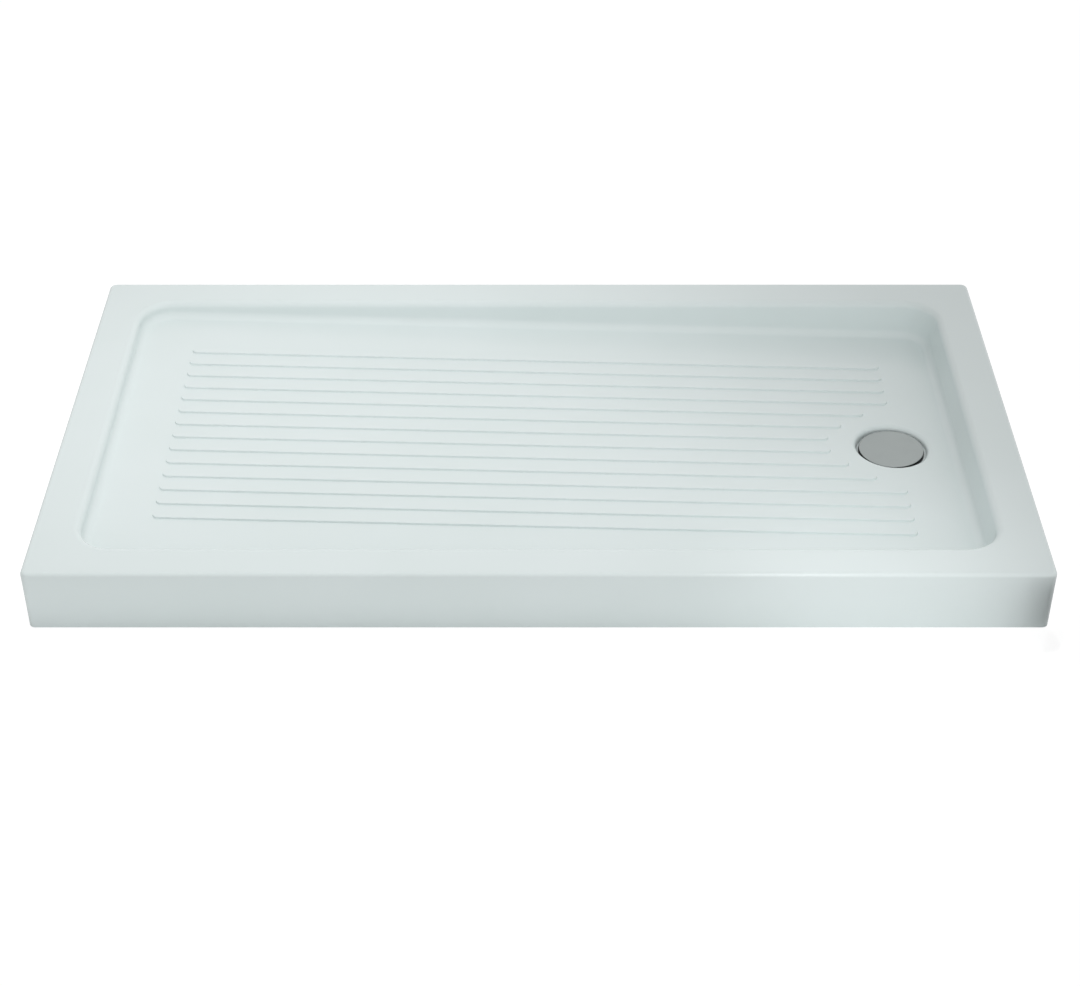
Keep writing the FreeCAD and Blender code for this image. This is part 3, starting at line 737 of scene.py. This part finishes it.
def surroundings():
    world = bpy.data.worlds.new("surround")
    bpy.context.scene.world = world
    world.use_nodes = True
    tree = world.node_tree
    tree.nodes.clear()
    ways = addNode(tree, "ShaderNodeTexCoord").outputs["Generated"]
    glow = studio["surround"]
    for direction, strength in studio["panels"]:
        facing = addNode(tree, "ShaderNodeVectorMath", {0: ways, 1: Vector(direction).normalized()},
                         operation="DOT_PRODUCT").outputs["Value"]
        facing = addNode(tree, "ShaderNodeMath", {0: facing, 1: 0.0}, operation="MAXIMUM")
        panel = addNode(tree, "ShaderNodeMath", {0: facing, 1: 2.0}, operation="POWER")
        glow = addNode(tree, "ShaderNodeMath", {0: panel, 1: strength, 2: glow}, operation="MULTIPLY_ADD")
    path = addNode(tree, "ShaderNodeLightPath").outputs
    seen = path["Is Camera Ray"]
    for other in ("Is Glossy Ray", "Is Transmission Ray"):
        seen = addNode(tree, "ShaderNodeMath", {0: seen, 1: path[other]}, operation="MAXIMUM")
    strength = addNode(tree, "ShaderNodeMapRange", {"Value": seen, "To Min": glow, "To Max": 1.0})
    light = addNode(tree, "ShaderNodeBackground", {"Color": "#ffffff", "Strength": strength})
    addNode(tree, "ShaderNodeOutputWorld", {"Surface": light})


def studioFloor():
    material = bpy.data.materials.new("floorPaperMatt")
    material.use_nodes = True
    tree = material.node_tree
    tree.nodes.clear()
    seen = addNode(tree, "ShaderNodeLightPath").outputs["Is Camera Ray"]
    tone = addNode(tree, "ShaderNodeMix", {
        0: seen, 6: studio["floor"], 7: studio["floorSeen"]}, data_type="RGBA")
    paper = addNode(tree, "ShaderNodeBsdfDiffuse", {"Color": tone})
    strength = addNode(tree, "ShaderNodeMath", {0: seen, 1: studio["floorLift"]}, operation="MULTIPLY")
    lift = addNode(tree, "ShaderNodeEmission", {"Strength": strength})
    both = addNode(tree, "ShaderNodeAddShader", {0: paper, 1: lift})
    addNode(tree, "ShaderNodeOutputMaterial", {"Surface": both})
    mesh = bmesh.new()
    bmesh.ops.create_circle(
        mesh, cap_ends=True, segments=studio["floorSides"], radius=studio["floorRadius"],
        matrix=Matrix.Translation((0, 0, studio["floorLevel"])))
    floor = objectFrom("floor", mesh, material)


def addFlag(name, points, low, high):
    # a black card on edge that the camera doesn't see, drawn as a line on the floor
    mesh = bmesh.new()
    lower = addRing(mesh, [(x, y, low) for x, y in points])
    upper = addRing(mesh, [(x, y, high) for x, y in points])
    for index in range(len(points) - 1):
        mesh.faces.new([lower[index], lower[index + 1], upper[index + 1], upper[index]])
    material = bpy.data.materials.new("cardBlackMatt")
    material.use_nodes = True
    shader = material.node_tree.nodes["Principled BSDF"].inputs
    shader["Base Color"].default_value = linearColour("#0a0a0a")
    shader["Roughness"].default_value = 0.9
    flag = objectFrom(name, mesh, material)
    flag.visible_camera = False


def addLamp(name, settings):
    data = bpy.data.lights.new(name, "SPOT")
    data.spot_size = math.radians(settings["cone"])
    data.spot_blend = 1.0
    data.shadow_soft_size = settings["size"]
    data.energy = settings["watts"]
    lamp = bpy.data.objects.new(name, data)
    lamp.location = settings["place"]
    lamp.rotation_euler = (Vector(settings["aim"]) - lamp.location).to_track_quat("-Z", "Y").to_euler()
    lamp.visible_camera = False
    lamp.visible_glossy = settings["mirrored"]  # off where a large soft lamp would leave a burnt-out spot
    bpy.context.scene.collection.objects.link(lamp)


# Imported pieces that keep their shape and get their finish, by the first start of a name that fits

nodeMaterials = {
    "base_board": woodChips,
    "foot_lock_nuts": zinc,
    "foot_socket_screws": zinc,
    "flange_gasket": sealRubber,
    "body_gasket": sealRubber,
    "collar_seal": sealRubber,
    # painted shade: a black flange stands in for the shade in the gap under the drain cover
    "waste_flange": flangeBlackPaintedShade,
    "waste_body": wastePlastic,
    "waste_screws": stainless,
    "hair_strainer": strainerPlastic,
    "cover_holder": strainerPlastic,
    "drain_cover": satinChrome,
    "fibreglass_backing": laminate,
    "foot_socket": footPlastic,
    "foot_pad": footPlastic,
    "foot_stud": zinc,
}
for name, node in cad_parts.items():
    for start, material in nodeMaterials.items():
        if name.startswith(start):
            node.data.materials.clear()
            node.data.materials.append(material)
            break

makeCamera()
surroundings()
studioFloor()
addFlag("cornerFlag", studio["cornerFlag"], *studio["flagHeights"])
for lampName in ("key", "edge", "corner"):
    addLamp(lampName + "Lamp", studio[lampName])
bpy.context.scene.view_settings.view_transform = "Standard"
print("studio made")
